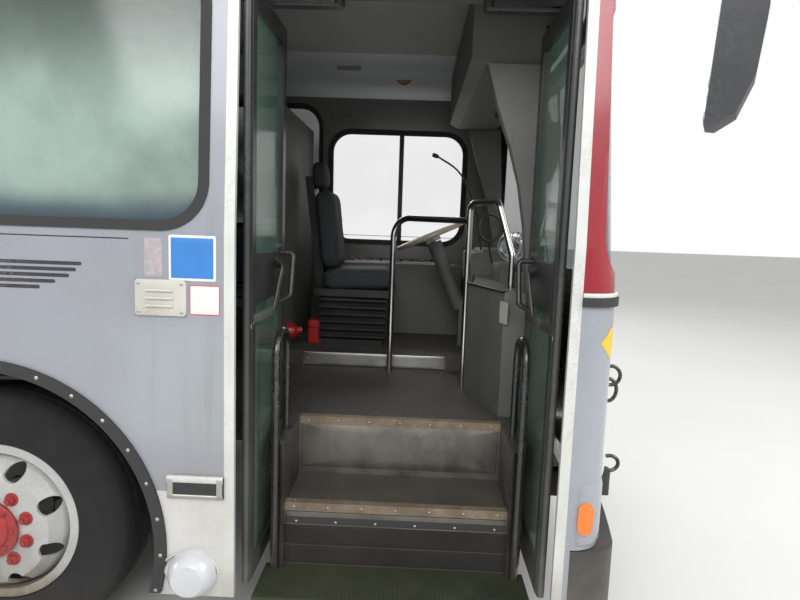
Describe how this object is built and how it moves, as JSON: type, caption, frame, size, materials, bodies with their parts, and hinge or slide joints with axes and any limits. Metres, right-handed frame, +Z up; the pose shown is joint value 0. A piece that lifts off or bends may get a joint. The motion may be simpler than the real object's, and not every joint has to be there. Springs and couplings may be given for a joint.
{
  "type": "city bus",
  "caption": "High-floor city bus with a stepped entrance and swinging door leaves, twin rear wheels, a driver's place, rows of seats and a folding bike rack.",
  "frame": {"origin": "on the ground under the middle of the bus, mirrors and rack counted", "axes": "+X forward, +Y to the bus's left, +Z up, doors on the -Y side"},
  "size_m": [12.615, 2.9408, 3.021],
  "materials": {
    "dark_metal": "satin black powder coat, worn",
    "black_rubber": "black extruded rubber",
    "chassis_black": "black underbody coat with road dirt",
    "dark_plastic": "dark grey grained panel",
    "white_paint": "white gloss paint, dusty",
    "rubber_floor": "ribbed dark floor rubber",
    "seat_rubber": "black ribbed bellows",
    "seat_fabric": "dark woven seat cloth",
    "engine_iron": "dark painted iron",
    "silver_paint": "silver grey gloss paint, dusty",
    "tinted_glass": "green tinted glass",
    "door_black": "black door frame with rubber edge",
    "bumper_black": "black energy bumper skin",
    "red_paint": "gloss red over silver grey, dusty",
    "stainless": "stained brushed stainless",
    "lamp_plastic": "amber, red and clear lamp lenses",
    "black_tube": "gloss black tube, chipped",
    "platform_metal": "ribbed plate with green film",
    "mirror_plastic": "black mirror shell",
    "seat_shell": "moulded seat shell",
    "white_steel": "white wheel enamel with road dirt",
    "roof_paint": "pale roof paint",
    "wheel_rim_plastic": "black steering wheel rim",
    "step_trim": "dirty nosing strip",
    "tyre": "worn tyre rubber"
  },
  "bodies": {
    "bus": {"body_trims": "black_rubber", "bumpers": "bumper_black", "chassis_frame": "chassis_black", "dash": "dark_plastic", "door_jambs": "white_paint", "driver_seat_base": "seat_rubber", "driver_seat_pads": "seat_fabric", "engine_block": "engine_iron", "floor": "rubber_floor", "front_axle": "chassis_black", "front_cap": "red_paint", "front_glass": "tinted_glass", "handrails": "stainless", "lamps": "lamp_plastic", "lift_handrails": "black_tube", "lift_platform": "platform_metal", "mirrors": "mirror_plastic", "overhead_casings": "dark_plastic", "partitions": "dark_plastic", "passenger_seats": "seat_shell", "rear_axle": "chassis_black", "rear_cap": "silver_paint", "roof": "roof_paint", "seat_pads": "seat_fabric", "side_glass": "tinted_glass", "step_nosings": "step_trim", "stepwells": "stainless", "wall_left": "silver_paint", "wall_right": "silver_paint", "wheel_housings": "chassis_black", "window_gaskets": "black_rubber"},
    "knuckle_left": {"knuckle_left": "chassis_black"},
    "knuckle_right": {"knuckle_right": "chassis_black"},
    "wheel_front_left": {"tyre_front_left": "tyre", "rim_front_left": "white_steel"},
    "wheel_front_right": {"tyre_front_right": "tyre", "rim_front_right": "white_steel"},
    "wheels_rear_left": {"tyre_rear_left": "tyre", "rim_rear_left": "white_steel"},
    "wheels_rear_right": {"tyre_rear_right": "tyre", "rim_rear_right": "white_steel"},
    "steering_wheel": {"steering_wheel": "wheel_rim_plastic"},
    "entry_door_rear": {"entry_leaf_rear": "door_black", "entry_glass_rear": "tinted_glass"},
    "entry_door_front": {"entry_leaf_front": "door_black", "entry_glass_front": "tinted_glass"},
    "exit_door_rear": {"exit_leaf_rear": "door_black", "exit_glass_rear": "tinted_glass"},
    "exit_door_front": {"exit_leaf_front": "door_black", "exit_glass_front": "tinted_glass"},
    "engine_door": {"engine_door": "silver_paint"},
    "roof_hatch_front": {"roof_hatch_front": "roof_paint"},
    "roof_hatch_rear": {"roof_hatch_rear": "roof_paint"},
    "bike_rack": {"bike_rack": "dark_metal"}
  },
  "joints": [
    {"name": "steer_left", "type": "hinge", "parent": "bus", "child": "knuckle_left", "pos_m": [3.6825, 0.955, 0.505], "axis": [0, 0, 1], "range_deg": [-40, 40]},
    {"name": "steer_right", "type": "hinge", "parent": "bus", "child": "knuckle_right", "pos_m": [3.6825, -0.955, 0.505], "axis": [0, 0, 1], "range_deg": [-40, 40]},
    {"name": "steering", "type": "hinge", "parent": "bus", "child": "steering_wheel", "pos_m": [5.3325, 0.65, 1.63], "axis": [-0.4067, 0, 0.9135], "range_deg": [-720, 720]},
    {"name": "roll_front_left", "type": "hinge", "parent": "knuckle_left", "child": "wheel_front_left", "pos_m": [3.6825, 1.091, 0.505], "axis": [0, 1, 0], "continuous": true},
    {"name": "roll_front_right", "type": "hinge", "parent": "knuckle_right", "child": "wheel_front_right", "pos_m": [3.6825, -1.091, 0.505], "axis": [0, 1, 0], "continuous": true},
    {"name": "roll_rear_left", "type": "hinge", "parent": "bus", "child": "wheels_rear_left", "pos_m": [-3.4045, 0.926, 0.505], "axis": [0, 1, 0], "continuous": true},
    {"name": "roll_rear_right", "type": "hinge", "parent": "bus", "child": "wheels_rear_right", "pos_m": [-3.4045, -0.926, 0.505], "axis": [0, 1, 0], "continuous": true},
    {"name": "entry_leaf_rear_swing", "type": "hinge", "parent": "bus", "child": "entry_door_rear", "pos_m": [4.9105, -0.964, 2.5], "axis": [0, 0, 1], "range_deg": [0, 90]},
    {"name": "entry_leaf_front_swing", "type": "hinge", "parent": "bus", "child": "entry_door_front", "pos_m": [5.4725, -0.964, 2.5], "axis": [0, 0, 1], "range_deg": [-90, 0]},
    {"name": "exit_leaf_rear_swing", "type": "hinge", "parent": "bus", "child": "exit_door_rear", "pos_m": [-2.012, -1.0475, 2.5], "axis": [0, 0, 1], "range_deg": [-90, 0]},
    {"name": "exit_leaf_front_swing", "type": "hinge", "parent": "bus", "child": "exit_door_front", "pos_m": [-1.617, -1.0475, 2.5], "axis": [0, 0, 1], "range_deg": [0, 90]},
    {"name": "engine_door_lift", "type": "hinge", "parent": "bus", "child": "engine_door", "pos_m": [-6.2085, 0, 1.454], "axis": [0, 1, 0], "range_deg": [0, 80]},
    {"name": "roof_hatch_front_lift", "type": "hinge", "parent": "bus", "child": "roof_hatch_front", "pos_m": [3.1405, 0, 2.999], "axis": [0, 1, 0], "range_deg": [0, 30]},
    {"name": "roof_hatch_rear_lift", "type": "hinge", "parent": "bus", "child": "roof_hatch_rear", "pos_m": [-2.3465, 0, 2.999], "axis": [0, 1, 0], "range_deg": [0, 30]},
    {"name": "bike_rack_fold", "type": "hinge", "parent": "bus", "child": "bike_rack", "pos_m": [6.0915, 0, 0.576], "axis": [0, 1, 0], "range_deg": [0, 90]}
  ],
  "couplings": [
    {"joint": "steer_right", "follows": "steer_left", "ratio": 1},
    {"joint": "steering", "follows": "steer_left", "ratio": 18}
  ]
}
